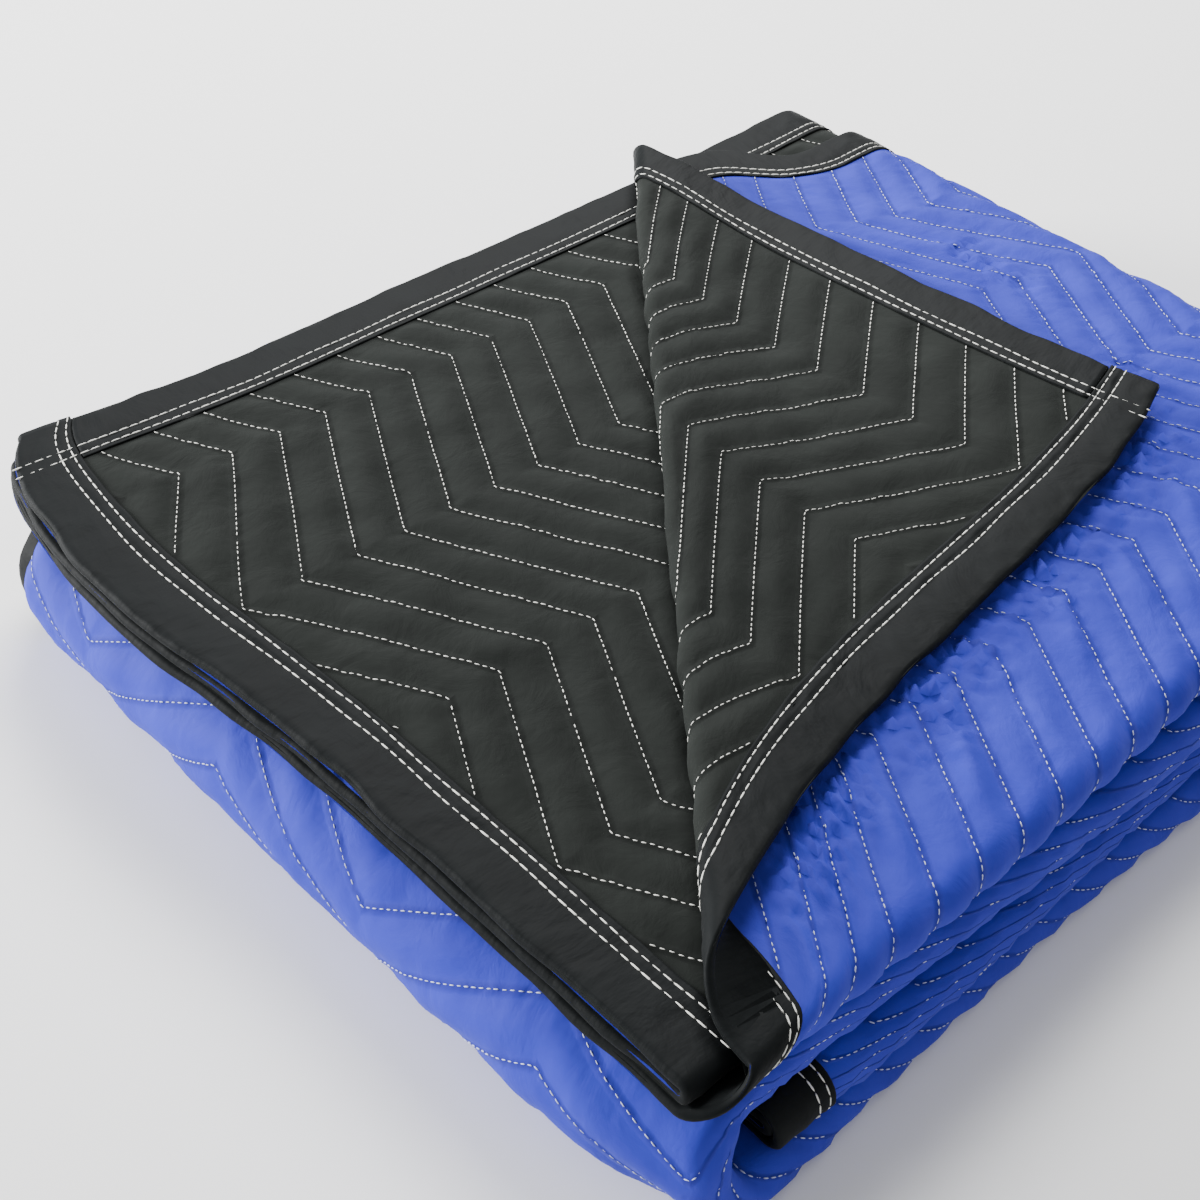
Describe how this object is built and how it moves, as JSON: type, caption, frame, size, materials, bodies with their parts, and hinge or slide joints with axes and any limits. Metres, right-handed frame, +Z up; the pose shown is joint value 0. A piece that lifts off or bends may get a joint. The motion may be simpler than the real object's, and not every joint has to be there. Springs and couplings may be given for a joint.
{
  "type": "folded moving blanket",
  "caption": "Quilted moving blanket with a blue face, black back and stitched black edge binding, folded into a flat pile with one corner turned back.",
  "frame": {"origin": "on the floor, under the middle of the folded pile", "axes": "+X across the pile towards its folded side, +Y from the bound front end to the rolled back, +Z up"},
  "size_m": [0.4594, 0.5792, 0.1142],
  "materials": {
    "blue_cloth": "matt quilted cloth",
    "black_cloth": "matt quilted cloth",
    "binding_cloth": "plain woven strip, slight sheen"
  },
  "bodies": {
    "root": {"face_panel": "blue_cloth", "back_panel": "black_cloth", "top_side_binding": "binding_cloth", "second_side_binding": "binding_cloth", "outer_end_binding": "binding_cloth", "inner_end_binding": "binding_cloth"}
  },
  "joints": []
}
